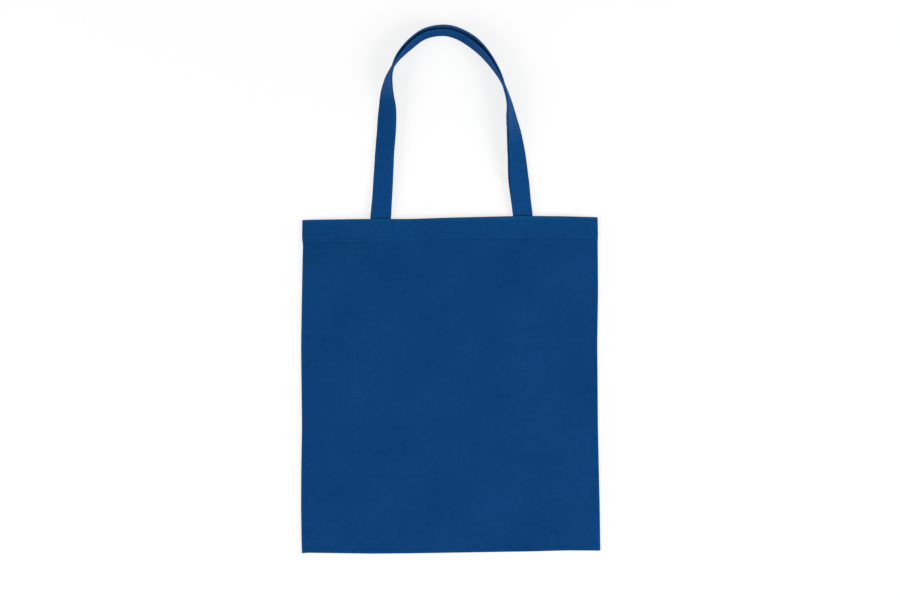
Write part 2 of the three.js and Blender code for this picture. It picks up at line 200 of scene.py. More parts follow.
def trace_route():
    """Distances along the route, and its x, y and turn there."""
    half_span = (handle_spacing + strap_width) / 2
    points = []
    for across, up, turn in landmarks:
        x = handle_shift + across * half_span
        y = bottom_y + body_height + right_side_rise * x / mouth_width + up * handle_reach
        points.append((x, y, math.radians(turn)))
    first, last = points[0], points[-1]
    points.insert(0, (first[0], first[1] - handle_end_depth, 0))
    points.append((last[0], last[1] - handle_end_depth, 0))
    line = catmull_rom(points, 1600)
    line[:, 2] = np.maximum(line[:, 2], 0)
    steps = np.hypot(np.diff(line[:, 0]), np.diff(line[:, 1]))
    distance = np.concatenate([[0], np.cumsum(steps)])
    return distance, line


route_distance, route_line = trace_route()
route_length = route_distance[-1]
standing = route_distance[route_line[:, 2] >= math.radians(90)]
print(f"each handle is {route_length / mm:.0f} mm long")
print(f"{np.ptp(standing) / mm:.0f} mm of it stands on edge")

# %% [markdown]
# ## Mesh helpers
#
# A flat cut is Blender's own grid, with as many rows and columns as the cloth needs bends. Its
# vertices are then moved to where the fold puts them, and a Solidify modifier gives the cloth
# its thickness.

# %% Cut a flat grid and fold it
def cut_cloth(name, cut_across, cut_along, folded, drop=None):
    """A grid with its columns at cut_across and rows at cut_along, its points moved to folded.

    folded is an array of rows, columns and xyz. drop marks the points that are cut away.
    """
    columns, rows = len(cut_across), len(cut_along)
    bpy.ops.mesh.primitive_grid_add(x_subdivisions=columns - 1, y_subdivisions=rows - 1, size=1)
    sheet = bpy.context.object
    sheet.name = name
    sheet.data.name = name
    count = len(sheet.data.vertices)
    flat = np.zeros(count * 3, np.float32)
    sheet.data.vertices.foreach_get("co", flat)
    flat = flat.reshape(-1, 3)
    column = np.round((flat[:, 0] + 0.5) * (columns - 1)).astype(int)
    row = np.round((flat[:, 1] + 0.5) * (rows - 1)).astype(int)
    loops = np.zeros(len(sheet.data.loops), np.int32)
    sheet.data.loops.foreach_get("vertex_index", loops)
    while sheet.data.uv_layers:
        sheet.data.uv_layers.remove(sheet.data.uv_layers[0])
    cut_map = sheet.data.uv_layers.new(name="cut")
    cut_points = np.stack([cut_across[column], cut_along[row]], 1)
    cut_map.data.foreach_set("uv", cut_points[loops].astype(np.float32).ravel())
    sheet.data.vertices.foreach_set("co", folded[row, column].astype(np.float32).ravel())
    if drop is not None:
        sheet.data.vertices.foreach_set("select", drop[row, column])
        drop_selected(sheet)
    return sheet, (row, column)


def drop_selected(sheet):
    """Cuts away the selected vertices of the active object."""
    chosen = np.zeros(len(sheet.data.vertices), bool)
    sheet.data.vertices.foreach_get("select", chosen)
    bpy.ops.object.mode_set(mode="EDIT")
    bpy.ops.mesh.select_mode(type="VERT")
    bpy.ops.mesh.select_all(action="DESELECT")
    bpy.ops.object.mode_set(mode="OBJECT")
    sheet.data.vertices.foreach_set("select", chosen)
    bpy.ops.object.mode_set(mode="EDIT")
    bpy.ops.mesh.delete(type="VERT")
    bpy.ops.object.mode_set(mode="OBJECT")


def keep_values(sheet, name, values):
    """Keeps a value from 0 to 1 for each vertex, for the material to read."""
    layer = sheet.data.attributes.new(name, "FLOAT", "POINT")
    layer.data.foreach_set("value", np.asarray(values, np.float32).ravel())


def thicken(sheet, thickness):
    """Gives a folded sheet its thickness, half of it on each side."""
    bpy.ops.object.select_all(action="DESELECT")
    sheet.select_set(True)
    bpy.context.view_layer.objects.active = sheet
    wall = sheet.modifiers.new("thickness", "SOLIDIFY")
    wall.thickness = thickness
    wall.offset = 0
    wall.use_rim = True
    bpy.ops.object.modifier_apply(modifier=wall.name)
    bpy.ops.object.shade_smooth_by_angle(angle=math.radians(50))
    sheet.select_set(False)
    print(f"{sheet.name}: {len(sheet.data.polygons)} faces")


# %% [markdown]
# ## The bag's body
#
# The body is one length of cloth, folded once at the bottom. Each side edge is turned to the
# inside as a seam allowance, so the side of the bag is two small rolled edges that meet. The
# mouth is turned over twice: the raw edge is tucked between the panel and the hem's inner
# layer. Cloth simulation could fold it, but this bag has been pressed flat and every fold of it
# is known, so each point of the cut is placed by a formula, and no layer slides into another.

# %% Levels of the two panels
def along_body(y, field, hem):
    """A level that changes from the field's to the hem's at the hem's edge."""
    return field + (hem - field) * smooth_step(y, ramp_bottom, ramp_top)


def back_at(y):
    """Level of the back panel."""
    return along_body(y, back_field, back_hem)


def lift_at(x, y):
    """How far the slack front panel stands off the back one."""
    crown = np.clip(1 - np.abs(2 * x / mouth_width) ** crown_power, 0, 1)
    run = np.clip((y - fold_end) / lift_run, 0, 1)
    opening = smooth_step(y, fold_end + lift_run, ramp_bottom)
    from_bottom = panel_lift * (1 - (1 - run) ** 3)
    return crown * (from_bottom + (mouth_lift - panel_lift) * opening)


# %% [markdown]
# The photographed bag has been pressed flat, but it keeps some soft creases: two that run down
# its left half, a short one below the hem at the right, broad waves all over, and small puckers
# where a seam draws the cloth in. None of them is higher than a millimetre. Sculpting could
# draw them by hand, but as formulas each can be moved or made deeper by one value.

# %% Creases, waves and puckers of the front panel
crease_lines = [
    # depth, half width, and points of x and y down the body, all in millimetres
    (0.55, 7, [(-141, 380), (-141, 344), (-149, 310), (-163, 263), (-170, 240),
               (-158, 160), (-150, 120)]),
    (0.4, 6, [(-95, 372), (-97, 339), (-89, 302), (-97, 260), (-102, 194), (-108, 150)]),
    (0.3, 9, [(30, 330), (12, 270), (-6, 240), (-20, 190), (-12, 110)]),
    (0.3, 8, [(118, 350), (126, 300), (120, 220), (131, 150), (128, 60)]),
]
crease_fade = 40 * mm
pucker_left = 140 * mm
pucker_right = 186 * mm
pucker_height = 398 * mm
pucker_fall = 11 * mm
pucker_depth = 0.35 * mm
pucker_reach = 2.6 * mm
hem_ripple = 0.16 * mm
hem_ripple_run = 11 * mm
side_ripple = 0.3 * mm
side_ripple_run = 12 * mm


def creases(x, y):
    """Soft valleys, each with a lower rise at its right."""
    total = np.zeros_like(x)
    for depth, half_width, points in crease_lines:
        points = np.array(points[::-1], float) * mm
        reach = half_width * mm
        low, high = points[0, 1], points[-1, 1]
        middle = np.interp(y, points[:, 1], points[:, 0])
        shown = smooth_step(y, low, low + crease_fade)
        shown = shown * (1 - smooth_step(y, high - crease_fade, high))
        rise = 0.4 * hill(x, middle + 1.9 * reach, reach)
        total += depth * mm * shown * (rise - hill(x, middle, reach))
    return total


def short_pucker(x, y):
    """The small bent crease under the hem near the right side."""
    along = smooth_step(x, pucker_left, pucker_left + 12 * mm)
    along = along * (1 - smooth_step(x, pucker_right - 10 * mm, pucker_right))
    along = along * (1 - smooth_step(y, hem_edge - 3 * mm, hem_edge))
    bent = smooth_step(x, pucker_left + 4 * mm, pucker_right - 14 * mm)
    middle = pucker_height - pucker_fall * bent
    return -pucker_depth * along * hill(y, middle, pucker_reach)


def stitch_puckers(x, y):
    """Ripples that fade away from the hem stitching and from the side seams."""
    below = hem_edge - y
    at_hem = np.exp(-np.clip(below, 0, None) / hem_ripple_run) * smooth_step(below, -6 * mm, 0)
    upright = soft_noise(x, y * 0.25, 6.5 * mm, 5)
    from_side = half_mouth - np.abs(x)
    at_side = np.exp(-from_side / side_ripple_run) * smooth_step(from_side, 0, 3 * mm)
    level = soft_noise(x * 0.3 + np.sign(x), y, 8 * mm, 6)
    return upright * at_hem * hem_ripple + level * at_side * side_ripple


# %% [markdown]
# A run of thread pulls the cloth in, and the cloth beside it puffs out. At the mouth that shapes
# the outer layer only: a groove along the hem line, and a square with a cross at each handle
# end. Below the hem line the panel puffs out again like a long pillow, highest under the boxes.
# Bump in the material could draw the grooves, but then they wouldn't be in the mesh.

# %% Relief of the seams
box_half_width = strap_width / 2 - 1 * mm
box_low = hem_stitch_y + 0.5 * mm
box_high = body_height - 1 * mm
box_middles = [handle_shift - handle_spacing / 2, handle_shift + handle_spacing / 2]
hem_puff = 0.2 * mm
box_puff = 0.1 * mm
thread_dent = 0.2 * mm
box_line_reach = 0.07
box_cross_reach = 0.1
pillow_height = 0.12 * mm
pillow_under_box = 0.38 * mm
pillow_run = 60 * mm


def seam_relief(x, y):
    """The hem's outer layer puffs up, and threads draw it in at the hem line and the boxes."""
    dent = thread_dent * hill(y, hem_stitch_y, 0.8 * mm)
    middle_y = (box_low + box_high) / 2
    half_height = (box_high - box_low) / 2
    for middle in box_middles:
        u = (x - middle) / box_half_width
        v = (y - middle_y) / half_height
        inside = (np.abs(u) < 1.08) & (np.abs(v) < 1.05)
        sides = hill(np.abs(u), 1, box_line_reach) * (np.abs(v) < 1.03)
        ends = hill(np.abs(v), 1, box_line_reach) * (np.abs(u) < 1.03)
        rising = hill(u - v, 0, box_cross_reach)
        falling = hill(u + v, 0, box_cross_reach)
        cross = np.maximum(rising, falling) * inside
        dent = np.maximum(dent, thread_dent * np.maximum(np.maximum(sides, ends), cross))
        puffed = np.clip(1 - np.maximum(np.abs(u), np.abs(v)), 0, 1) * inside
        dent = dent - box_puff * puffed
    return hem_puff * smooth_step(y, ramp_bottom - front_ramp, ramp_top) - dent


def pillow(x, y):
    """Below the hem line the panel puffs out again, most under the handle ends."""
    below = hem_stitch_y - y
    under_box = sum(hill(x, middle, 1.1 * box_half_width) for middle in box_middles)
    rise = smooth_step(below, 1.5 * mm, 5.5 * mm)
    rise = rise * (1 - smooth_step(below, 8 * mm, pillow_run))
    return (pillow_height + pillow_under_box * under_box) * rise


# %% [markdown]
# All of the unevenness is added up here. The waves are three noises of different size, the
# finest drawn out along the body. They die out at the bottom fold and at the sides, where the
# cloth is held, and the hem's three layers are too stiff for them. Along each side a low ridge
# shows where the allowance ends under the panel.

# %% The front panel's level
broad_waves = 0.8 * mm
small_waves = 0.25 * mm
upright_waves = 0.22 * mm
hem_stiffness = 0.85
allowance_ridge = 0.18 * mm


def front_unevenness(x, y):
    """How far the front panel lies off its smooth level."""
    from_side = half_mouth - np.abs(x)
    calm = smooth_step(y, fold_end, 40 * mm) * smooth_step(from_side, 0, 14 * mm)
    in_hem = smooth_step(y, ramp_bottom, ramp_top)
    waves = broad_waves * soft_noise(x, y, 72 * mm, 1)
    waves = waves + small_waves * soft_noise(x, y, 27 * mm, 2)
    waves = waves + upright_waves * soft_noise(x, y * 0.28, 15 * mm, 3)
    level = waves * calm * (1 - hem_stiffness * in_hem)
    level = level + creases(x, y) * (1 - in_hem) + short_pucker(x, y) + stitch_puckers(x, y)
    ridge = allowance_ridge * hill(from_side, seam_allowance * 0.72, 3 * mm)
    return level + ridge * (1 - in_hem) + pillow(x, y)


def front_at(x, y):
    """Level of the middle of the front panel, before the seams draw its outer layer in."""
    to_hem = smooth_step(y, ramp_bottom - front_ramp, ramp_top)
    flat = front_field + (front_hem - front_field) * to_hem + lift_at(x, y)
    return flat + front_unevenness(x, y)


# %% [markdown]
# The outline isn't straight either. Its sides bow in and out by about a millimetre, the top
# edge dips at the left and rises under the right handle, the lower left corner sticks out, and
# the hem's stitched line sags, most at the left. Each bow is a short list of places along an
# edge and how far the edge lies off there. Smooth lines join them, and the cloth between two
# edges follows both.

# %% How the outline wanders
side_heights = np.array([0, 16, 60, 100, 160, 265, 330, 396, 402, 424]) * mm
left_bow = np.array([1.1, 0.5, -0.4, -0.4, 0.3, -1.3, -0.6, 0.5, -0.7, -0.4]) * mm
right_bow = np.array([1.1, 0.9, 0.5, -0.3, -1.3, -1.6, -0.3, -0.5, 0.0, -0.5]) * mm
edge_places = np.array([-189, -180, -100, -50, -12, 0, 80, 104, 145, 187]) * mm
top_bow = np.array([-1.3, -0.9, -0.5, -1.0, 0.0, 0.3, 1.6, 1.6, 0.9, -0.5]) * mm
bottom_bow = np.array([0.6, 1.4, -0.4, -0.4, -0.1, 0.0, 0.7, 0.9, 1.7, 1.1]) * mm
hem_sag = 0.8 * mm
hem_sag_left = 1.0 * mm


def bow(value, places, amounts):
    """A smooth line through a few places: straight lines, averaged over a short reach."""
    reach = 7 * mm
    total = np.zeros_like(value)
    weight = np.zeros_like(value)
    for share in np.linspace(-1, 1, 9):
        near = math.exp(-3 * share * share)
        total += near * np.interp(value + share * reach, places, amounts)
        weight += near
    return total / weight


def laid(x, y, z):
    """Where a point of the square-cut body lies, in the frame."""
    spread = 1 + (base_width / mouth_width - 1) * (1 - y / body_height)
    to_right = np.clip(x / mouth_width + 0.5, 0, 1)
    to_top = np.clip(y / body_height, 0, 1)
    at_left, at_right = bow(y, side_heights, left_bow), bow(y, side_heights, right_bow)
    at_bottom, at_top = bow(x, edge_places, bottom_bow), bow(x, edge_places, top_bow)
    shift_x = between(at_left, at_right, to_right)
    sag = hem_sag + hem_sag_left * smooth_step(-x, 40 * mm, 130 * mm)
    shift_y = between(at_bottom, at_top, to_top) - sag * hill(y, hem_edge, 12 * mm)
    return np.stack([
        x * spread + shift_x,
        bottom_y + y + right_side_rise * x / mouth_width + shift_y,
        z,
    ], -1)


# %% [markdown]
# The rows of the flat cut go from the raw edge of the front hem, over the mouth, down the front,
# round the bottom fold and up the back. Each row knows its height up the body, how deep it lies
# under the outer layer, and its angle where it is in the bottom fold. Rows lie close together
# where stitching shapes the cloth, and far apart on the back, which lies flat on the table.

# %% Rows of the cut
def stepped(start, end, step):
    """Values from start up to but without end, about one step apart."""
    count = max(round(abs(end - start) / step), 1)
    return np.linspace(start, end, count, endpoint=False)


def half_rows(panel_step):
    """Height and depth of the rows of one panel, from its raw edge to the bottom fold."""
    turn = pitch / 2
    low = hem_edge + turn
    angles = np.linspace(0, math.pi, 6, endpoint=False)
    rows = [(y, pitch) for y in stepped(hem_edge + hem_turn_under, low, 3 * mm)]
    rows += [(low - turn * math.sin(a), pitch * 1.5 - turn * math.cos(a)) for a in angles]
    rows += [(y, 2 * pitch) for y in stepped(low, mouth_line, 2.4 * mm)]
    rows += [(mouth_line + pitch * math.sin(a), pitch + pitch * math.cos(a)) for a in angles]
    outer_runs = [
        # where a run of rows starts and ends, and how far apart its rows lie
        (mouth_line, hem_edge + 4 * mm, 1.1 * mm),
        (hem_edge + 4 * mm, ramp_bottom - 2 * mm, 0.6 * mm),
        (ramp_bottom - 2 * mm, hem_edge - 30 * mm, 1.7 * mm),
        (hem_edge - 30 * mm, 12 * mm, panel_step),
        (12 * mm, fold_end, 1.8 * mm),
    ]
    for start, end, step in outer_runs:
        rows += [(y, 0) for y in stepped(start, end, step)]
    return np.array(rows)


front_rows = half_rows(3.7 * mm)
back_rows = half_rows(7.5 * mm)[::-1]
fold_angles = np.linspace(0, math.pi, 11)
row_y = np.concatenate([front_rows[:, 0], np.full(len(fold_angles), fold_end), back_rows[:, 0]])
row_depth = np.concatenate([front_rows[:, 1], np.zeros(len(fold_angles)), back_rows[:, 1]])
row_angle = np.concatenate([
    np.zeros(len(front_rows)),
    fold_angles,
    np.full(len(back_rows), math.pi),
])

# %% [markdown]
# The columns go from the raw edge of one seam allowance, round the rolled side, across the
# panel and out to the other. They lie closer together at the sides and over the handle ends,
# where the stitching shapes the cloth.

# %% Columns of the cut
roll = 0.465 * mm
roll_middle = half_mouth - cloth / 2 - roll


def panel_columns():
    """Places across the panel, closer together where the cloth bends more."""
    fine = np.linspace(-roll_middle, roll_middle, 4000)
    density = np.full_like(fine, 1 / (4.2 * mm))
    for middle in box_middles:
        density += (np.abs(fine - middle) < box_half_width + 2 * mm) / (1.5 * mm)
    density += (roll_middle - np.abs(fine) < 12 * mm) / (2.5 * mm)
    amount = np.concatenate([[0], np.cumsum((density[1:] + density[:-1]) / 2 * np.diff(fine))])
    return np.interp(np.linspace(0, amount[-1], round(amount[-1]) + 1), amount, fine)


panel_x = panel_columns()
roll_angles = np.linspace(0, math.pi, 8)[1:]
allowance_runs = np.array([2, 4.5, 7, seam_allowance / mm - 0.6]) * mm
side_x = np.concatenate([roll_middle + roll * np.sin(roll_angles), roll_middle - allowance_runs])
side_inward = np.concatenate([(1 + np.cos(roll_angles)) / 2, np.zeros(len(allowance_runs))])
side_cut = np.concatenate([
    roll_middle + roll * roll_angles,
    roll_middle + roll * math.pi + allowance_runs,
])
column_x = np.concatenate([-side_x[::-1], panel_x, side_x])
column_weight = np.concatenate([side_inward[::-1], np.ones(len(panel_x)), side_inward])
column_cut = np.concatenate([-side_cut[::-1], panel_x, side_cut])
print(len(row_y), "rows and", len(column_x), "columns")


# %% [markdown]
# Folding is one formula. Both panels are measured from the middle between them: a point of the
# panel lies a full half gap away, a point of the allowance half a pitch, and the rolled edge is
# the smooth way from one to the other. In the bottom fold the same half gap is swung round.

# %% Fold the body
def fold_body():
    """The place of every point of the body's cut."""
    y = row_y[:, None] + np.zeros_like(column_x)[None, :]
    depth = row_depth[:, None]
    angle = row_angle[:, None]
    weight = column_weight[None, :]
    inner = smooth_step(depth, 0.2 * pitch, 2 * pitch)
    x = column_x[None, :] * (1 - inner * 1.3 * mm / half_mouth)
    middle = (back_at(y) + along_body(y, front_field, front_hem)) / 2
    allowance = pitch / 2
    surface = 1 - smooth_step(depth, 0, pitch)
    front = front_at(x, y) - depth + seam_relief(x, y) * surface
    back = back_at(y) + depth
    up = middle + allowance + (front - middle - allowance) * weight
    down = middle - allowance - (middle - allowance - back) * weight
    radius = allowance + (fold_radius - allowance) * weight
    z = np.where(angle == 0, up, np.where(angle == math.pi, down, middle + radius * np.cos(angle)))
    y = np.where((angle > 0) & (angle < math.pi), fold_end - radius * np.sin(angle), y)
    return laid(x, y, z)


def body_cut_away():
    """The allowances end below the hem, and the hem's inner layers end at the rolled side."""
    is_allowance = (column_weight == 0)[None, :]
    is_side = (column_weight < 1)[None, :]
    in_hem = (row_y > ramp_top)[:, None]
    is_inner = (row_depth > 1.05 * pitch)[:, None] | (np.abs(row_depth - pitch) < 1e-9)[:, None]
    return (is_allowance & in_hem) | (is_side & is_inner)


body_points = fold_body()
steps_along = np.linalg.norm(np.diff(body_points[:, len(column_x) // 2], axis=0), axis=1)
row_cut = np.concatenate([[0], np.cumsum(steps_along)])
bag_body, _ = cut_cloth("bag_body", column_cut, row_cut, body_points, body_cut_away())


# %% [markdown]
# Where cloth is folded it rubs, and the dye goes first from the fibres that stand out there. So
# each vertex keeps a value that says how rubbed it is, and the material turns it into a paler
# colour. The same value carries painted light too: the rolled mouth edge is drawn paler against the
# shade where it turns over, and the hem is drawn paler, more towards the right, the side of the
# stronger lamp. It could be painted by hand, but it is worked out from the distance to each edge.

# %% Where the body is rubbed, and where light is painted on it
def body_wear_and_light(sheet):
    """How rubbed each vertex is at the sides and the bottom, and painted light at the mouth and
    hem.
    """
    at = np.zeros(len(sheet.data.vertices) * 3, np.float32)
    sheet.data.vertices.foreach_get("co", at)
    at = at.reshape(-1, 3)
    x = at[:, 0]
    y = at[:, 1] - bottom_y - right_side_rise * x / mouth_width
    half_width = half_mouth + (base_width - mouth_width) / 2 * (1 - y / body_height)
    to_side = np.clip(half_width - np.abs(x), 0, None)
    at_side = np.exp(-to_side / (0.9 * mm))
    # Rubbed and painted highlight: the rolled mouth edge is drawn paler where it turns over into
    # shade.
    at_mouth = np.exp(-np.clip(body_height - 1.5 * mm - y, 0, None) / (2.6 * mm))
    at_bottom = np.exp(-np.clip(y + 0.5 * mm, 0, None) / (1.2 * mm))
    # Painted light in the hem: drawn paler, and more so towards the right, the side of the stronger
    # lamp.
    at_hem = 0.2 * smooth_step(y, hem_edge, hem_edge + 3 * mm)
    at_hem = at_hem + 0.2 * smooth_step(y, hem_edge + 5 * mm, body_height)
    at_hem = at_hem * (0.8 + 0.3 * x / half_mouth)
    return np.clip(np.maximum.reduce([at_side, at_mouth, at_bottom, at_hem]), 0, 1)


keep_values(bag_body, "wear_and_light", body_wear_and_light(bag_body))
keep_values(bag_body, "painted_highlight", np.zeros(len(bag_body.data.vertices)))
thicken(bag_body, cloth)

# %% [markdown]
# ## The handles
#
# A handle is a strip of the same cloth, about 95 mm wide. Its long edges are folded to its
# middle and the strip is then folded once more, so the strap is four layers thick, with one
# plain fold along one edge and two turned edges along the other. The strip's section is folded
# first, and the folded section is then carried along the route.

# %% The section of a folded strap
def strap_section():
    """Cut distance, distance across the strap and distance out from its middle layer."""
    half = 1.5 * pitch
    turn = pitch / 2
    tuck = 1.4 * mm
    near = turn + cloth / 2
    far = strap_width - half - cloth / 2
    inner = np.linspace(strap_width - half - cloth - tuck, near, 6, endpoint=False)
    outer = np.concatenate([
        np.linspace(near, 4 * mm, 6, endpoint=False),
        np.linspace(4 * mm, strap_width - 4 * mm, 6, endpoint=False),
        np.linspace(strap_width - 4 * mm, far, 6, endpoint=False),
    ])
    small = np.linspace(0, math.pi, 6, endpoint=False)
    large = np.linspace(0, math.pi, 10, endpoint=False)
    points = [(a, turn) for a in inner]
    points += [(near - turn * math.sin(t), 2 * turn - turn * math.cos(t)) for t in small]
    points += [(a, half) for a in outer]
    points += [(far + half * math.sin(t), half * math.cos(t)) for t in large]
    half_section = len(points) - len(large)
    points += [(a, -out) for a, out in points[:half_section][::-1]]
    points = np.array(points)
    steps = np.hypot(np.diff(points[:, 0]), np.diff(points[:, 1]))
    return np.concatenate([[0], np.cumsum(steps)]), points[:, 0], points[:, 1]


section_cut, section_across, section_out = strap_section()
print(f"a handle's strip is {section_cut[-1] / mm:.0f} mm wide before it is folded")


# %% [markdown]
# The two handles follow one route, but they don't lie exactly on each other. In the arch the
# front one fans away from the rear one by a few degrees, and a dark line shows between them. On
# the right leg they have slipped apart sideways, so both edges show, and a crease runs slantwise
# over that leg where the strap begins to turn. Each of these is a small function of the distance
# along the route, so that the strap and its stitches share it.

# %% How the two handles differ
slip_right = 0.75 * mm
slip_left = 0.35 * mm
flare_width = 0.7 * mm
buckle_height = 0.4 * mm
slant_depth = 0.3 * mm
slant_rise = 0.15 * mm
slant_place = 139 * mm
slant_share = 0.37
fan_places = np.array([-6, 12, 24, 40, 60, 85, 110, 135, 155, 172]) * mm
fan_shares = np.array([0, 0.5, 0.58, 0.66, 0.9, 1, 1.05, 0.5, 0.24, 0])


def in_arch(distance):
    """0 on the legs and 1 in the arch, where the front handle fans away from the rear one."""
    return bow(distance - standing[0], fan_places, fan_shares)


def handle_slip(distance):
    """How far the handles have slipped apart sideways, on the right leg and a bit on the left."""
    right = smooth_step(distance, route_length - 167 * mm, route_length - 157 * mm)
    right = right * (1 - smooth_step(distance, route_length - 75 * mm, route_length - 40 * mm))
    return slip_right * right + slip_left * hill(distance, 155 * mm, 16 * mm)


def flare(distance):
    """How much wider the strap lies where it comes out of the mouth at the left."""
    return flare_width * hill(distance, handle_end_depth + 5 * mm, 14 * mm)


def buckle(distance, seed):
    """Small waves of a strap that stands on its edge."""
    on_edge = smooth_step(np.interp(distance, route_distance, route_line[:, 2]), 1.1, 1.6)
    return buckle_height * on_edge * soft_noise(distance, distance * 0 + seed * mm, 19 * mm, seed)


def slant_crease(distance, across):
    """The crease over the right leg, where the strap begins to turn."""
    bend = route_length - slant_place - slant_share * across
    valley = slant_depth * hill(distance, bend, 1.8 * mm)
    return valley - slant_rise * hill(distance, bend + 4 * mm, 2 * mm)


# %% [markdown]
# At each distance the route gives a place, a way ahead and a turn. A strap lies flat on its
# legs, the front one on the rear one, and in the arch the two stand on edge side by side, the
# front one outside. A Curve modifier could bend a straight strap along the route, but it can't
# give each handle its own lean, which grows from the lower edge to the upper one, so every
# point is placed by a formula.

# %% Carry a section along the route
way_step = 1.5 * mm
low_edge_lean = 0.35


def on_handle(is_front, across, out, distance):
    """Points that lie across and out from a handle's lower edge, at distances along its route."""
    x = np.interp(distance, route_distance, route_line[:, 0])
    y = np.interp(distance, route_distance, route_line[:, 1])
    turn = np.interp(distance, route_distance, route_line[:, 2])
    ahead = np.minimum(distance + way_step, route_length)
    behind = np.maximum(distance - way_step, 0)
    way_x = np.interp(ahead, route_distance, route_line[:, 0])
    way_x = way_x - np.interp(behind, route_distance, route_line[:, 0])
    way_y = np.interp(ahead, route_distance, route_line[:, 1])
    way_y = way_y - np.interp(behind, route_distance, route_line[:, 1])
    size = np.hypot(way_x, way_y)
    inwards = np.stack([way_y / size, -way_x / size, np.zeros_like(size)], -1)
    opened = smooth_step(distance, standing[0] + 20 * mm, standing[-1] - 45 * mm)
    apart = (handle_step + arch_gap * (0.3 + 0.9 * opened) * in_arch(distance)) * is_front
    rest = strap_thickness / 2 * np.abs(np.cos(turn))
    on_top = (strap_thickness / 2 + apart) * np.cos(turn)
    from_end = np.minimum(distance, route_length - distance)
    fade = smooth_step(from_end, handle_end_depth, handle_end_depth + handle_run_out)
    level = np.maximum(rest, on_top) + mouth_rise * (1 - fade)
    place = np.stack([x, y, level], -1) - inwards * (np.sin(turn) * apart)[..., None]
    share = across / strap_width
    across = across + handle_slip(distance) * (1 - 2 * is_front) + flare(distance) * (2 * share - 1)
    lean = is_front * (arch_lean * in_arch(distance) - leg_press)
    more_above = (1 - low_edge_lean) * share
    chord = (turn + lean * (low_edge_lean + more_above))[..., None]
    slope = (turn + lean * (low_edge_lean + 2 * more_above))[..., None]
    upwards = np.array([0, 0, 1.0])
    across_strap = inwards * np.cos(chord) + upwards * np.sin(chord)
    off_strap = upwards * np.cos(slope) - inwards * np.sin(slope)
    out = out + buckle(distance, 31) - slant_crease(distance, across)
    return place + across_strap * across[..., None] + off_strap * out[..., None]


def handle_stations(count):
    """Distances along the route, closer together where the strap turns."""
    turning = np.abs(np.diff(route_line[:, 2])) * 20 * mm
    creased = 1 + 1.5 * hill(route_distance[1:], route_length - 144 * mm, 10 * mm)
    effort = np.concatenate([[0], np.cumsum(np.diff(route_distance) * creased + turning)])
    return np.interp(np.linspace(0, effort[-1], count), effort, route_distance)


# %% [markdown]
# Sewn straps aren't quite flat. The edge stitching draws two grooves in, the cloth puffs up a
# little between them, and the edges wobble by a tenth of a millimetre where the needle pulled.
# Only the side that faces away from the other handle is shaped so, because where the two press
# on each other both stay flat.

# %% Unevenness of a strap
edge_stitch_inset = 2 * mm
strap_fullness = 0.1 * mm
strap_puff = 0.12 * mm
strap_groove = 0.12 * mm
strap_ripple = 0.05 * mm
edge_wobble = 0.18 * mm


def strap_relief(is_front, across, out, distance, seed):
    """How far the outer layers lie out of their flat place, on the side off the other handle."""
    groove = hill(across, edge_stitch_inset, 0.7 * mm)
    groove = groove + hill(across, strap_width - edge_stitch_inset, 0.7 * mm)
    middle = np.clip(1 - (2 * across / strap_width - 1) ** 2, 0, 1)
    puff = strap_puff * middle * (1 + 0.6 * soft_noise(distance, across, 17 * mm, seed))
    ripple = strap_ripple * soft_noise(distance, across * 0.4, 4 * mm, seed + 1)
    height = strap_fullness + puff + ripple - strap_groove * groove
    outer = np.clip((np.abs(out) - pitch) / (pitch / 2), 0, 1)
    is_free = (out > 0) == bool(is_front)
    return np.sign(out) * outer * is_free * height


def twist_highlight(distance):
    """Painted highlight: paler where a strap turns on edge and faces a side lamp."""
    most = 0.55
    turn = np.degrees(np.interp(distance, route_distance, route_line[:, 2]))
    way = np.gradient(np.interp(distance, route_distance, route_line[:, 1]), distance)
    sideways = smooth_step(np.abs(way), 0.45, 0.95)
    return sideways * smooth_step(turn, 38, 72) * most


# %% [markdown]
# Now each strap is cut, folded and laid. Both are made by one function. The ripples of each
# have their own seed, so that no two are the same, but the larger buckles are the same in both,
# or the two handles would cut each other.

# %% Fold the two handles
def handle(name, is_front, seed):
    """One handle, folded from its strip and laid along the route."""
    stations = handle_stations(245)
    distance = stations[:, None] + np.zeros_like(section_cut)[None, :]
    wobble = edge_wobble * soft_noise(distance, distance * 0, 9 * mm, seed + 2)
    across = section_across[None, :] + wobble
    out = section_out[None, :]
    out = out + strap_relief(is_front, across, out, distance, seed)
    folded = on_handle(is_front, across, out, distance)
    strap, (row, column) = cut_cloth(name, section_cut, stations, folded)
    edge = np.minimum(section_across, strap_width - section_across)[column]
    wear_and_light = np.exp(-np.clip(edge, 0, None) / (0.8 * mm)) * (np.abs(section_out[column]) > 0.1 * mm)
    keep_values(strap, "wear_and_light", wear_and_light)
    # Painted highlight: paler where the strap twists towards a side lamp, and paler on the front
    # handle in the arch, whose inner face lies in the shade of the gap.
    painted_highlight = np.maximum(twist_highlight(stations), 0.5 * is_front * in_arch(stations))
    keep_values(strap, "painted_highlight", painted_highlight[row])
    thicken(strap, cloth)
    return strap


strap_front = handle("strap_front", 1, 11)
strap_rear = handle("strap_rear", 0, 21)

# %% [markdown]
# ## Stitches
#
# A lockstitch shows as a row of short raised threads, each going down through the cloth at both
# ends. A line of bump could stand for it, but seen close the stitches give the bag its scale. So
# one stitch is modelled: a six-sided rod cut into short lengths with the bisect tool, its ends
# tapered and bent down into the needle holes. Each row copies it along its own line.

# %% Model one stitch
stitch_pitch = 2.8 * mm
stitch_visible = 2.65 * mm
thread_width = 0.42 * mm
thread_height = 0.32 * mm
stitch_rise = 0.08 * mm
stitch_sink = 0.34 * mm
stitch_slant = 0.05


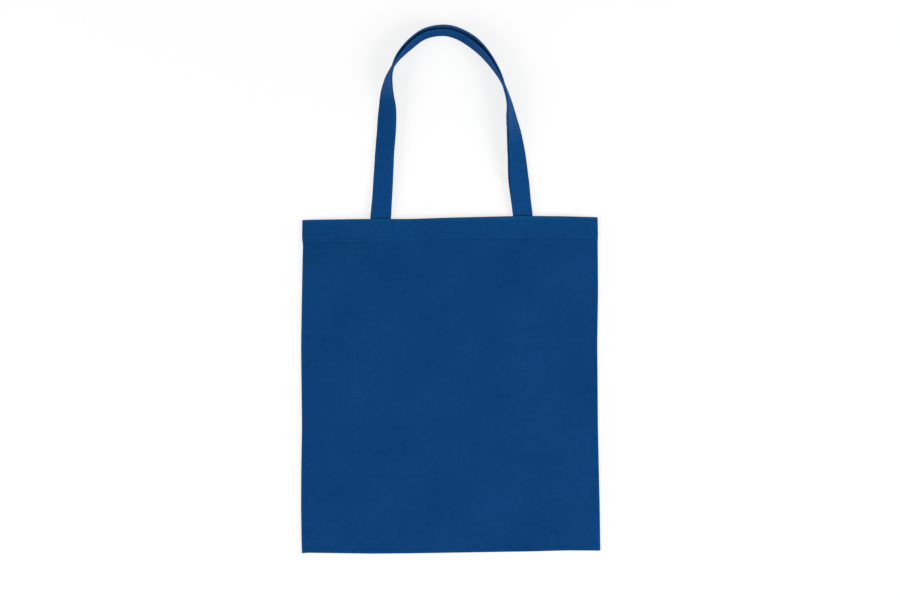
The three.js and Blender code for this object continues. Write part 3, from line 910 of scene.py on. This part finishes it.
def model_stitch():
    """A stitch's points along, across and up, their place round the thread, and its faces."""
    bpy.ops.mesh.primitive_cylinder_add(
        vertices=6, radius=0.5, depth=1, end_fill_type="NGON", rotation=(0, math.pi / 2, 0))
    rod = bpy.context.object
    rod.name = "one_stitch"
    bpy.ops.object.transform_apply(location=True, rotation=True, scale=True)
    bpy.ops.object.mode_set(mode="EDIT")
    for place in (-0.38, -0.2, 0, 0.2, 0.38):
        bpy.ops.mesh.select_all(action="SELECT")
        bpy.ops.mesh.bisect(plane_co=(place, 0, 0), plane_no=(1, 0, 0))
    bpy.ops.object.mode_set(mode="OBJECT")
    at = np.array([v.co for v in rod.data.vertices])
    faces = [list(p.vertices) for p in rod.data.polygons]
    bpy.data.objects.remove(rod)
    taper = 1 - 0.35 * smooth_step(np.abs(at[:, 0]), 0.3, 0.5)
    along = at[:, 0]
    across = at[:, 1] * thread_width * taper
    sink = stitch_sink * smooth_step(np.abs(along), 0.22, 0.5)
    up = at[:, 2] * thread_height * taper + stitch_rise - sink
    around = np.arctan2(at[:, 2], at[:, 1]) / (2 * math.pi)
    return along, across, up, around, faces


stitch_along, stitch_across, stitch_up, stitch_around, stitch_faces = model_stitch()
print(f"one stitch has {len(stitch_faces)} faces")


# %% [markdown]
# Each stitch lies on its row's line, with its own up and its own slight slant, because a
# machine's stitches never line up exactly. All the stitches of one seam become one mesh, and
# the thread's UV map runs on from stitch to stitch, so that its twist does too.

# %% Sew rows of stitches
def spaced_along(points, normals, distances):
    """Points and normals at distances along a line."""
    steps = np.linalg.norm(np.diff(points, axis=0), axis=1)
    run = np.concatenate([[0], np.cumsum(steps)])
    at = np.stack([np.interp(distances, run, points[:, k]) for k in range(3)], -1)
    up = np.stack([np.interp(distances, run, normals[:, k]) for k in range(3)], -1)
    return at, up / np.linalg.norm(up, axis=-1, keepdims=True), run[-1]


def sew(name, rows, lay):
    """A piece made of all the stitches of some rows, lay above the cloth.

    A row is its points and their normals.
    """
    verts = []
    faces = []
    uvs = []
    total = 0
    random = np.random.default_rng(len(name))
    for points, normals in rows:
        length = spaced_along(points, normals, np.zeros(1))[2]
        count = max(int(length / stitch_pitch), 1)
        spacing = length / count
        for i in range(count):
            middle = (i + 0.5) * spacing
            place = middle + stitch_along * stitch_visible / stitch_pitch * spacing
            at, up, _ = spaced_along(points, normals, place)
            both_sides = np.array([middle - 0.1 * mm, middle + 0.1 * mm])
            ends, _, _ = spaced_along(points, normals, both_sides)
            ahead = ends[1] - ends[0]
            ahead = ahead / np.linalg.norm(ahead)
            side = np.cross(up, ahead)
            slant = stitch_slant + random.uniform(-0.02, 0.02)
            sideways = stitch_across + stitch_along * stitch_pitch * slant * 2
            verts.append(at + side * sideways[:, None] + up * (stitch_up + lay)[:, None])
            uvs.append(np.stack([place, stitch_around], -1))
            faces += [[v + total for v in face] for face in stitch_faces]
            total += len(stitch_along)
    mesh = bpy.data.meshes.new(name)
    mesh.from_pydata(np.concatenate(verts).tolist(), [], faces)
    layer = mesh.uv_layers.new(name="thread")
    loops = np.zeros(len(mesh.loops), np.int32)
    mesh.loops.foreach_get("vertex_index", loops)
    layer.data.foreach_set("uv", np.concatenate(uvs)[loops].astype(np.float32).ravel())
    mesh.shade_smooth()
    piece = bpy.data.objects.new(name, mesh)
    bpy.context.scene.collection.objects.link(piece)
    print(f"{name}: {total // len(stitch_along)} stitches")
    return piece


# %% [markdown]
# A row is drawn on the cloth that it holds. For the body it is a line of places on one of the
# panels, and the cloth's own slope there gives the way that is up. The hem is sewn right
# through, so the same row shows on the outside of each panel and on the inside of its hem.

# %% Rows on the body
def row_on_body(x, y, is_front, depth=0.0, outside=True):
    """A row of places on the body, on the outer or inner side of a layer."""
    def level(x, y):
        if not is_front:
            return back_at(y) + depth
        return front_at(x, y) - depth + seam_relief(x, y) * outside

    step = 0.4 * mm
    faces_up = is_front == outside
    sign = 1 if faces_up else -1
    slope_x = (level(x + step, y) - level(x - step, y)) / (2 * step)
    slope_y = (level(x, y + step) - level(x, y - step)) / (2 * step)
    normals = sign * np.stack([-slope_x, -slope_y, np.ones_like(slope_x)], -1)
    normals /= np.linalg.norm(normals, axis=-1, keepdims=True)
    return laid(x, y, level(x, y)) + normals * cloth / 2, normals


def straight(start, end, step=0.7 * mm):
    """Places along a straight line on the body."""
    count = max(int(math.dist(start, end) / step), 2)
    return np.linspace(start[0], end[0], count), np.linspace(start[1], end[1], count)


def hem_rows():
    """The hem's row, on the outside of each panel and on the inside of its hem."""
    reach = half_mouth - 2 * mm
    x, y = straight((-reach, hem_stitch_y), (reach, hem_stitch_y))
    rows = []
    for is_front in (True, False):
        rows.append(row_on_body(x, y, is_front))
        rows.append(row_on_body(x * 0.99, y, is_front, 2 * pitch, outside=False))
    return rows


def box_rows(middle, is_front):
    """A square with its two diagonals, where a handle's end is sewn on."""
    left, right = middle - box_half_width, middle + box_half_width
    lines = [
        ((left, box_low), (left, box_high)),
        ((left, box_high), (right, box_high)),
        ((right, box_high), (right, box_low)),
        ((right, box_low), (left, box_low)),
        ((left, box_low), (right, box_high)),
        ((left, box_high), (right, box_low)),
    ]
    return [row_on_body(*straight(*line), is_front) for line in lines]


pressed_in = 0.02 * mm
hem_thread = sew("hem_stitches", hem_rows(), lay=pressed_in)
box_threads = {}
for hand, middle in zip(("left", "right"), box_middles):
    for face in ("front", "rear"):
        name = f"box_stitches_{face}_{hand}"
        box_threads[name] = sew(name, box_rows(middle, face == "front"), lay=pressed_in)


# %% [markdown]
# A strap's rows are carried along its route like the strap itself, a little out from its middle
# layer. The same point a millimetre further out gives the way that is up for each stitch. Both
# sides of a strap show the row, because a lockstitch looks the same on both.

# %% Rows on the straps
def strap_row(is_front, across, face):
    """A row along a strap: face is 1 for its upper side and -1 for its lower side."""
    distance = np.linspace(0.5 * mm, route_length - 0.5 * mm, 900)
    along = np.full_like(distance, across)
    out = np.full_like(distance, face * (1.5 * pitch + cloth / 2 - 0.04 * mm))
    points = on_handle(is_front, along, out, distance)
    further = on_handle(is_front, along, out + face * mm, distance)
    return points, (further - points) / mm


edge_threads = {}
for face, is_front in (("front", 1), ("rear", 0)):
    for row, across in (("outer", edge_stitch_inset), ("inner", strap_width - edge_stitch_inset)):
        name = f"edge_stitches_{face}_{row}"
        rows = [strap_row(is_front, across, 1), strap_row(is_front, across, -1)]
        edge_threads[name] = sew(name, rows, lay=0.0)

# %% [markdown]
# ## The overlocked side seams
#
# Inside each side, the raw edges of both allowances are bound by thread that loops over and
# under them. It is one long coil, pressed flat: a tube whose line goes round and round the two
# edges as it climbs.

# %% Wind the overlock thread
overlock_pitch = 2.6 * mm
overlock_near = seam_allowance - 4.5 * mm
overlock_far = seam_allowance + 0.15 * mm
overlock_radius = 0.13 * mm
overlock_lift = 0.16 * mm


def overlock_line(side):
    """The thread's line, round and round the two raw edges as it climbs."""
    low = fold_end + 3 * mm
    high = ramp_bottom - 1 * mm
    turns = int((high - low) / overlock_pitch)
    angle = np.linspace(0, turns * 2 * math.pi, turns * 12 + 1)
    y = low + (high - low) * angle / angle[-1]
    reach = (1 + np.cos(angle)) / 2
    reach = smooth_step(reach, 0.02, 0.98)
    from_edge = overlock_near + (overlock_far - overlock_near) * reach
    swing = np.clip(np.sin(angle) * 2.2, -1, 1)
    middle = (back_field + front_field) / 2
    z = middle + swing * (pitch / 2 + cloth / 2 + overlock_lift)
    return laid(side * (half_mouth - from_edge), y, z)


def tube(name, line, radius, sides=5):
    """A closed tube of thread along a line."""
    ahead = np.gradient(line, axis=0)
    ahead /= np.linalg.norm(ahead, axis=1, keepdims=True)
    across = np.cross(ahead, [0, 1, 0.2])
    across /= np.linalg.norm(across, axis=1, keepdims=True)
    up = np.cross(ahead, across)
    angle = np.arange(sides) / sides * 2 * math.pi
    ring = across[:, None] * np.cos(angle)[None, :, None]
    ring = ring + up[:, None] * np.sin(angle)[None, :, None]
    verts = (line[:, None] + ring * radius).reshape(-1, 3)
    faces = []
    for i in range(len(line) - 1):
        for k in range(sides):
            a, b = i * sides + k, i * sides + (k + 1) % sides
            faces.append([a, b, b + sides, a + sides])
    faces.append(list(range(sides))[::-1])
    faces.append([(len(line) - 1) * sides + k for k in range(sides)])
    mesh = bpy.data.meshes.new(name)
    mesh.from_pydata(verts.tolist(), [], faces)
    layer = mesh.uv_layers.new(name="thread")
    run = np.concatenate([[0], np.cumsum(np.linalg.norm(np.diff(line, axis=0), axis=1))])
    loops = np.zeros(len(mesh.loops), np.int32)
    mesh.loops.foreach_get("vertex_index", loops)
    uv = np.stack([np.repeat(run, sides), np.tile(angle / (2 * math.pi), len(line))], -1)
    layer.data.foreach_set("uv", uv[loops].astype(np.float32).ravel())
    mesh.shade_smooth()
    piece = bpy.data.objects.new(name, mesh)
    bpy.context.scene.collection.objects.link(piece)
    return piece


overlock_threads = {
    hand: tube(f"overlock_{hand}", overlock_line(side), overlock_radius)
    for hand, side in (("left", -1), ("right", 1))
}
print("overlock:", len(overlock_threads["left"].data.polygons), "faces on each side")

# %% [markdown]
# ## Materials
#
# A material's pattern can be a formula of nodes. Written out one by one, the nodes and links
# would hide the formula, so a small class lets node sockets be added and multiplied like
# numbers. Each operation adds one Math node.

# %% A short way to write node formulas
class Formula:
    """A node socket that can be added, multiplied and so on like a number."""

    def __init__(self, tree, socket):
        self.tree = tree
        self.socket = socket

    def math(self, operation, *others):
        node = self.tree.nodes.new("ShaderNodeMath")
        node.operation = operation
        for place, value in zip(node.inputs, (self, *others)):
            if isinstance(value, Formula):
                self.tree.links.new(value.socket, place)
            else:
                place.default_value = value
        return Formula(self.tree, node.outputs[0])

    def __add__(self, other):
        return self.math("ADD", other)

    def __sub__(self, other):
        return self.math("SUBTRACT", other)

    def __mul__(self, other):
        return self.math("MULTIPLY", other)


def noise_of(tree, u, v, scale, detail=2.0):
    """Noise between about 0.25 and 0.75 over two coordinates in metres."""
    join = tree.nodes.new("ShaderNodeCombineXYZ")
    tree.links.new(u.socket, join.inputs[0])
    tree.links.new(v.socket, join.inputs[1])
    noise = tree.nodes.new("ShaderNodeTexNoise")
    noise.inputs["Scale"].default_value = scale
    noise.inputs["Detail"].default_value = detail
    tree.links.new(join.outputs[0], noise.inputs["Vector"])
    return Formula(tree, noise.outputs["Fac"])


def map_of(tree, name):
    """The two coordinates of a UV map."""
    uv = tree.nodes.new("ShaderNodeUVMap")
    uv.uv_map = name
    split = tree.nodes.new("ShaderNodeSeparateXYZ")
    tree.links.new(uv.outputs[0], split.inputs[0])
    return Formula(tree, split.outputs[0]), Formula(tree, split.outputs[1])


def blend(tree, share, first, second):
    """A colour between two colours."""
    mix = tree.nodes.new("ShaderNodeMix")
    mix.data_type = "RGBA"
    tree.links.new(share.socket, mix.inputs["Factor"])
    for place, colour in ((mix.inputs["A"], first), (mix.inputs["B"], second)):
        if isinstance(colour, tuple):
            place.default_value = (*colour, 1)
        else:
            tree.links.new(colour, place)
    return mix.outputs["Result"]


# %% [markdown]
# ## Woven cotton
#
# Plain weave is two sets of yarn that pass over and under each other in turn. The height of the
# cloth is the higher of the two at each point, worked out from the cut's own width and length,
# so the yarns run straight along the cloth. An image of cloth would repeat and blur, and these
# formulas don't. Spun cotton yarn is uneven, so yarns differ in colour and some are thicker for
# a few centimetres: these slubs are what the eye sees from a distance. The shader's sheen is
# the faint light that the fuzz of the fibres sends back.

# %% The cotton's material
navy = (0.0065, 0.0755, 0.265)
navy_dark = (0.0032, 0.042, 0.148)
# The paler blue of rubbed edges, also used as painted light at the mouth edge and in the hem.
navy_faded_and_lit = (0.0056, 0.1, 0.29)
# The paler, lilac blue of the painted highlight on the straps.
navy_painted_highlight = (0.042, 0.125, 0.33)
sheen_tint = (0.05, 0.42, 1.0, 1)
sheen_weight = 0.05
sheen_roughness = 0.35
yarn_pitch = 0.44 * mm
weave_depth = 0.16 * mm
speck_reach = 2 * mm
speck_strength = 0.75


def yarn_height(u, v):
    """Height of one set of yarns: round across, and over and under along its length."""
    round_yarn = (u * math.pi).math("SINE").math("ABSOLUTE")
    over = ((v + u.math("FLOOR")) * math.pi).math("SINE") * 0.5 + 0.5
    return round_yarn * over


def near_places(tree, places, reach):
    """1 at some places of the object and 0 beyond their reach."""
    at = tree.nodes.new("ShaderNodeTexCoord")
    total = None
    for place in places:
        away = tree.nodes.new("ShaderNodeVectorMath")
        away.operation = "DISTANCE"
        tree.links.new(at.outputs["Object"], away.inputs[0])
        away.inputs[1].default_value = place
        near = Formula(tree, away.outputs["Value"]).math("MULTIPLY_ADD", -1 / reach, 1.0)
        near.socket.node.use_clamp = True
        total = near if total is None else total + near
    return total


def add_fuzz(shader):
    """The faint light that standing fibres send back."""
    shader.inputs["Sheen Weight"].default_value = sheen_weight
    shader.inputs["Sheen Roughness"].default_value = sheen_roughness
    shader.inputs["Sheen Tint"].default_value = sheen_tint


def add_bump(tree, height, depth, strength):
    """Small relief that is too fine to be in the mesh."""
    bump = tree.nodes.new("ShaderNodeBump")
    bump.inputs["Distance"].default_value = depth
    bump.inputs["Strength"].default_value = strength
    tree.links.new(height.socket, bump.inputs["Height"])
    tree.links.new(bump.outputs[0], tree.nodes["Principled BSDF"].inputs["Normal"])


def woven_cotton(name, tone=1.0, specks=()):
    """The cloth's material. tone makes a piece a little lighter or darker than the others."""
    material = bpy.data.materials.new(name)
    material.use_nodes = True
    tree = material.node_tree
    shader = tree.nodes["Principled BSDF"]
    across, along = map_of(tree, "cut")
    u = across * (1 / yarn_pitch)
    v = along * (1 / yarn_pitch)
    weave = yarn_height(u, v).math("MAXIMUM", yarn_height(v, u + 1))

    warp_slubs = noise_of(tree, across, along * 0.03, 900)
    weft_slubs = noise_of(tree, across * 0.03, along, 900)
    slubs = (warp_slubs + weft_slubs) * 0.5
    mottle = noise_of(tree, across, along, 130, 3.0)
    clouds = noise_of(tree, across, along, 14, 2.0)
    fibres = noise_of(tree, across, along, 5200, 1.0)
    shade = (slubs - 0.5) * 0.6 + (mottle - 0.5) * 0.5 + (clouds - 0.5) * 0.6
    # The weave's height also sets the colour: the gaps between the yarns are drawn darker, as
    # painted shade.
    shade = shade + (weave - 0.6) * 0.55 + (fibres - 0.5) * 0.5
    if specks:
        shade = shade - near_places(tree, specks, speck_reach) * speck_strength
    share = shade + 0.4
    share.socket.node.use_clamp = True
    dark = tuple(tone * value for value in navy_dark)
    light = tuple(tone * value for value in navy)
    colour = blend(tree, share, dark, light)

    # Paler where the edges are rubbed, and painted light: the mouth edge and the hem are drawn
    # paler.
    wear_and_light = tree.nodes.new("ShaderNodeAttribute")
    wear_and_light.attribute_name = "wear_and_light"
    worn_and_lit = Formula(tree, wear_and_light.outputs["Fac"]) * noise_of(tree, across, along, 700) * 1.1
    worn_and_lit.socket.node.use_clamp = True
    colour = blend(tree, worn_and_lit, colour, navy_faded_and_lit)
    # Painted highlight: the straps are blended towards a paler blue where they twist and on the
    # front handle in the arch, most on the yarns' tops.
    painted_highlight = tree.nodes.new("ShaderNodeAttribute")
    painted_highlight.attribute_name = "painted_highlight"
    highlight_share = Formula(tree, painted_highlight.outputs["Fac"]) * (weave * 0.6 + fibres)
    highlight_share.socket.node.use_clamp = True
    tree.links.new(blend(tree, highlight_share, colour, navy_painted_highlight), shader.inputs["Base Color"])

    shader.inputs["Roughness"].default_value = 0.92
    shader.inputs["Specular IOR Level"].default_value = 0.02
    add_fuzz(shader)
    add_bump(tree, weave + slubs * 1.4 + fibres * 0.35, weave_depth, 0.9)
    return material


# %% [markdown]
# ## Sewing thread
#
# Thread is plies twisted together, which show as slanting stripes. The stripes are a sine of
# the distance along the thread plus the place round it, both read from the thread's UV map, so
# they wind round it at every bend. The thread is dyed with the cloth and hardly differs in
# colour, and it is a little smoother.

# %% The thread's material
thread_dark = (0.0036, 0.066, 0.172)
thread_light = (0.007, 0.112, 0.268)
ply_pitch = 0.7 * mm
ply_depth = 0.06 * mm


def sewing_thread(name):
    """Two plies twisted together: slanting stripes round the thread, with fuzz."""
    material = bpy.data.materials.new(name)
    material.use_nodes = True
    tree = material.node_tree
    shader = tree.nodes["Principled BSDF"]
    along, around = map_of(tree, "thread")
    plies = ((along * (1 / ply_pitch) + around) * (4 * math.pi)).math("SINE") * 0.5 + 0.5
    fibres = noise_of(tree, along, around * (0.4 * mm), 2500)
    share = plies * 0.6 + fibres * 0.5
    share.socket.node.use_clamp = True
    tree.links.new(blend(tree, share, thread_dark, thread_light), shader.inputs["Base Color"])
    shader.inputs["Roughness"].default_value = 0.7
    shader.inputs["Specular IOR Level"].default_value = 0.08
    add_fuzz(shader)
    add_bump(tree, share, ply_depth, 0.5)
    return material


# %% [markdown]
# The straps are a shade paler than the body, so they have a material of their own. The body has two
# dark specks on its left half, each a place on its front panel that is given to the material in
# object coordinates.

# %% Give each piece its finish
def finish_with(pieces, material):
    """Gives each piece the material as its only one."""
    for piece in pieces:
        piece.data.materials.clear()
        piece.data.materials.append(material)


speck_places = []
for x, y in ((-103.5 * mm, 46 * mm), (-72 * mm, 52 * mm)):
    speck_places.append((x, y, front_at(x, y - bottom_y)))
body_cotton = woven_cotton("body_cotton", specks=speck_places)
strap_tone = 1.14
strap_cotton = woven_cotton("strap_cotton", tone=strap_tone)
thread = sewing_thread("sewing_thread")
body_threads = [hem_thread, *box_threads.values(), *overlock_threads.values()]
thread_pieces = [*body_threads, *edge_threads.values()]
finish_with([bag_body], body_cotton)
finish_with([strap_front, strap_rear], strap_cotton)
finish_with(thread_pieces, thread)
print(len(thread_pieces), "pieces of thread and 3 of cloth")

# %% [markdown]
# ## Tie the pieces to the frame
#
# The bag has no joints, so every piece rides on the root body. Each one takes the place of the CAD
# node of the same part. The threads that are sewn into a piece of cloth go with it.

# %% Ride and replace
for piece in [bag_body, strap_front, strap_rear, *thread_pieces]:
    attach(piece, "root")

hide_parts("body_cloth")
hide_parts("handle_front")
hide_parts("handle_rear")
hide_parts("mouth_hem_stitching")
for name, piece in [*box_threads.items(), *edge_threads.items()]:
    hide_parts(name.replace("stitches", "stitching"))
for hand, piece in overlock_threads.items():
    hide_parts(f"side_seam_overlock_{hand}")

for strap, face in ((strap_front, "front"), (strap_rear, "rear")):
    rows = [piece for name, piece in edge_threads.items() if face in name]

# %% [markdown]
# ## The studio
#
# The bag lies on white and is seen from straight above, lit from the left and the right. A floor
# that is lit to full white would throw too much light back on the bag, so the floor is a pale
# grey, and for what the camera sees directly, much of its brightness is its own: the shadows
# stay on it, but stay pale. Far from the bag, where the lamps don't reach, all of it is its own.

# %% Floor
def seen_directly(tree):
    """1 for the rays of the camera and of mirrors and glass, 0 for the rays that carry light."""
    rays = tree.nodes.new("ShaderNodeLightPath")
    seen = Formula(tree, rays.outputs["Is Camera Ray"])
    for kind in ("Is Glossy Ray", "Is Transmission Ray"):
        seen = seen.math("MAXIMUM", Formula(tree, rays.outputs[kind]))
    return seen


floor_grey = 0.7
floor_glow = 1.22
own_light_near = 0.6
far_start = 2 / 3
far_end = 7 / 3


def white_floor():
    """A plane that looks white from near and far and keeps a pale shadow."""
    bpy.ops.mesh.primitive_plane_add(size=12, location=(0, 0, -0.3 * mm))
    floor = bpy.context.object
    floor.name = "floor"
    material = bpy.data.materials.new("floor_white")
    material.use_nodes = True
    tree = material.node_tree
    shader = tree.nodes["Principled BSDF"]
    shader.inputs["Base Color"].default_value = (floor_grey, floor_grey, floor_grey, 1)
    shader.inputs["Roughness"].default_value = 0.9
    shader.inputs["Specular IOR Level"].default_value = 0.1
    glow = tree.nodes.new("ShaderNodeEmission")
    glow.inputs["Strength"].default_value = floor_glow
    place = tree.nodes.new("ShaderNodeTexCoord")
    from_middle = tree.nodes.new("ShaderNodeVectorMath")
    from_middle.operation = "LENGTH"
    tree.links.new(place.outputs["Object"], from_middle.inputs[0])
    distance = Formula(tree, from_middle.outputs["Value"])
    far = (distance - far_start) * (1 / (far_end - far_start))
    far.socket.node.use_clamp = True
    own_light = seen_directly(tree) * (far * (1 - own_light_near) + own_light_near)
    mix = tree.nodes.new("ShaderNodeMixShader")
    tree.links.new(own_light.socket, mix.inputs[0])
    tree.links.new(shader.outputs[0], mix.inputs[1])
    tree.links.new(glow.outputs[0], mix.inputs[2])
    tree.links.new(mix.outputs[0], tree.nodes["Material Output"].inputs["Surface"])
    floor.data.materials.append(material)


white_floor()


# %% [markdown]
# Two square lamps stand low at the left and the right, the right one a little stronger, so that
# waves and creases that run down the bag show, and the seams keep a fine shadow. A lamp's power
# is worked out from the share of full light that it should add on the bag. The world adds an
# even light, and is white for the camera.

# %% Light
lamp_size = 1.1
lamp_out = 1.8
lamp_towards_viewer = 0.45
lamp_height = 1.25
sky_light = 0.4


def soft_lamp(name, place, size, share):
    """A square lamp, aimed at the origin, that adds the given share of full light there."""
    place = Vector(place)
    slope = place.z / place.length
    lamp = bpy.data.lights.new(name, "AREA")
    lamp.size = size
    lamp.energy = share * math.pi**2 * place.length**2 / slope
    holder = bpy.data.objects.new(name, lamp)
    holder.location = place
    holder.rotation_euler = (-place).to_track_quat("-Z", "Y").to_euler()
    bpy.context.scene.collection.objects.link(holder)
    print(f"{name} lamp: {lamp.energy:.1f} W")


world = bpy.data.worlds.new("studio")
bpy.context.scene.world = world
world.use_nodes = True
sky = world.node_tree.nodes["Background"]
sky.inputs["Color"].default_value = (1, 1, 1, 1)
sky_strength = seen_directly(world.node_tree) * (1 - sky_light) + sky_light
world.node_tree.links.new(sky_strength.socket, sky.inputs["Strength"])
soft_lamp("left", (-lamp_out, -lamp_towards_viewer, lamp_height), lamp_size, 0.27)
soft_lamp("right", (lamp_out, -lamp_towards_viewer, lamp_height), lamp_size, 0.37)

# %% [markdown]
# ## Camera
#
# An empty bag can't stand, so the camera looks straight down on it, from 2.7 m with an 85 mm
# lens, which makes one pixel of the picture 1.27 mm on the table. From so far the handles, which
# stand up to 25 mm high in the arch, are drawn hardly larger than the body.

# %% Camera and settings
camera_height = 2.696
camera_place = (-0.4 * mm, bottom_y + 320.5 * mm)
lens = bpy.data.cameras.new("camera")
lens.lens = 85
lens.sensor_width = 36
camera = bpy.data.objects.new("camera", lens)
camera.location = (*camera_place, camera_height)
bpy.context.scene.collection.objects.link(camera)
bpy.context.scene.camera = camera
bpy.context.scene.view_settings.view_transform = "Standard"

# %% [markdown]
# Last, the view layer is brought up to date.

# %% Finish
bpy.context.view_layer.update()
